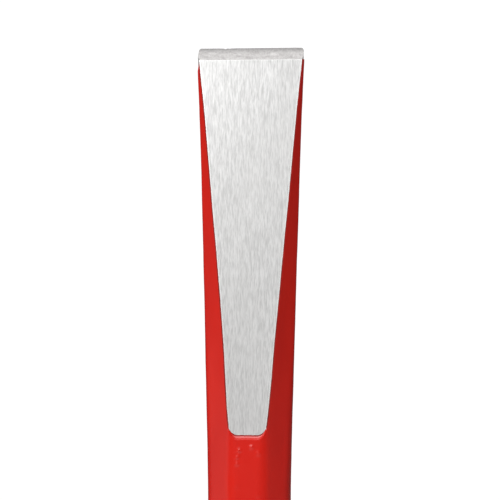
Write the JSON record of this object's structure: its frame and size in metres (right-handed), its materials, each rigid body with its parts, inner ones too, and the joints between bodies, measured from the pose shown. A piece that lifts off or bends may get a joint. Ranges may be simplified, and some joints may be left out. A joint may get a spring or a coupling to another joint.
{
  "type": "brick chisel",
  "caption": "Flat brick and masonry cold chisel: one octagonal forged steel bar with a spread, ground blade and a coned striking head, red enamelled on its shank and flanks.",
  "frame": {"origin": "centre of the round flat of the striking face, on which the chisel stands", "axes": "+Z along the chisel's axis from the striking face to the cutting edge; X across the blade's width; Y across its thickness, with the two ground faces towards -Y and +Y"},
  "size_m": [0.0256, 0.0194, 0.3],
  "materials": {
    "bare_steel": "ground satin, with fine streaks along the blade",
    "red_enamel": "gloss enamel"
  },
  "bodies": {
    "root": {"forged_body": "bare_steel", "red_coat": "red_enamel"}
  },
  "joints": []
}
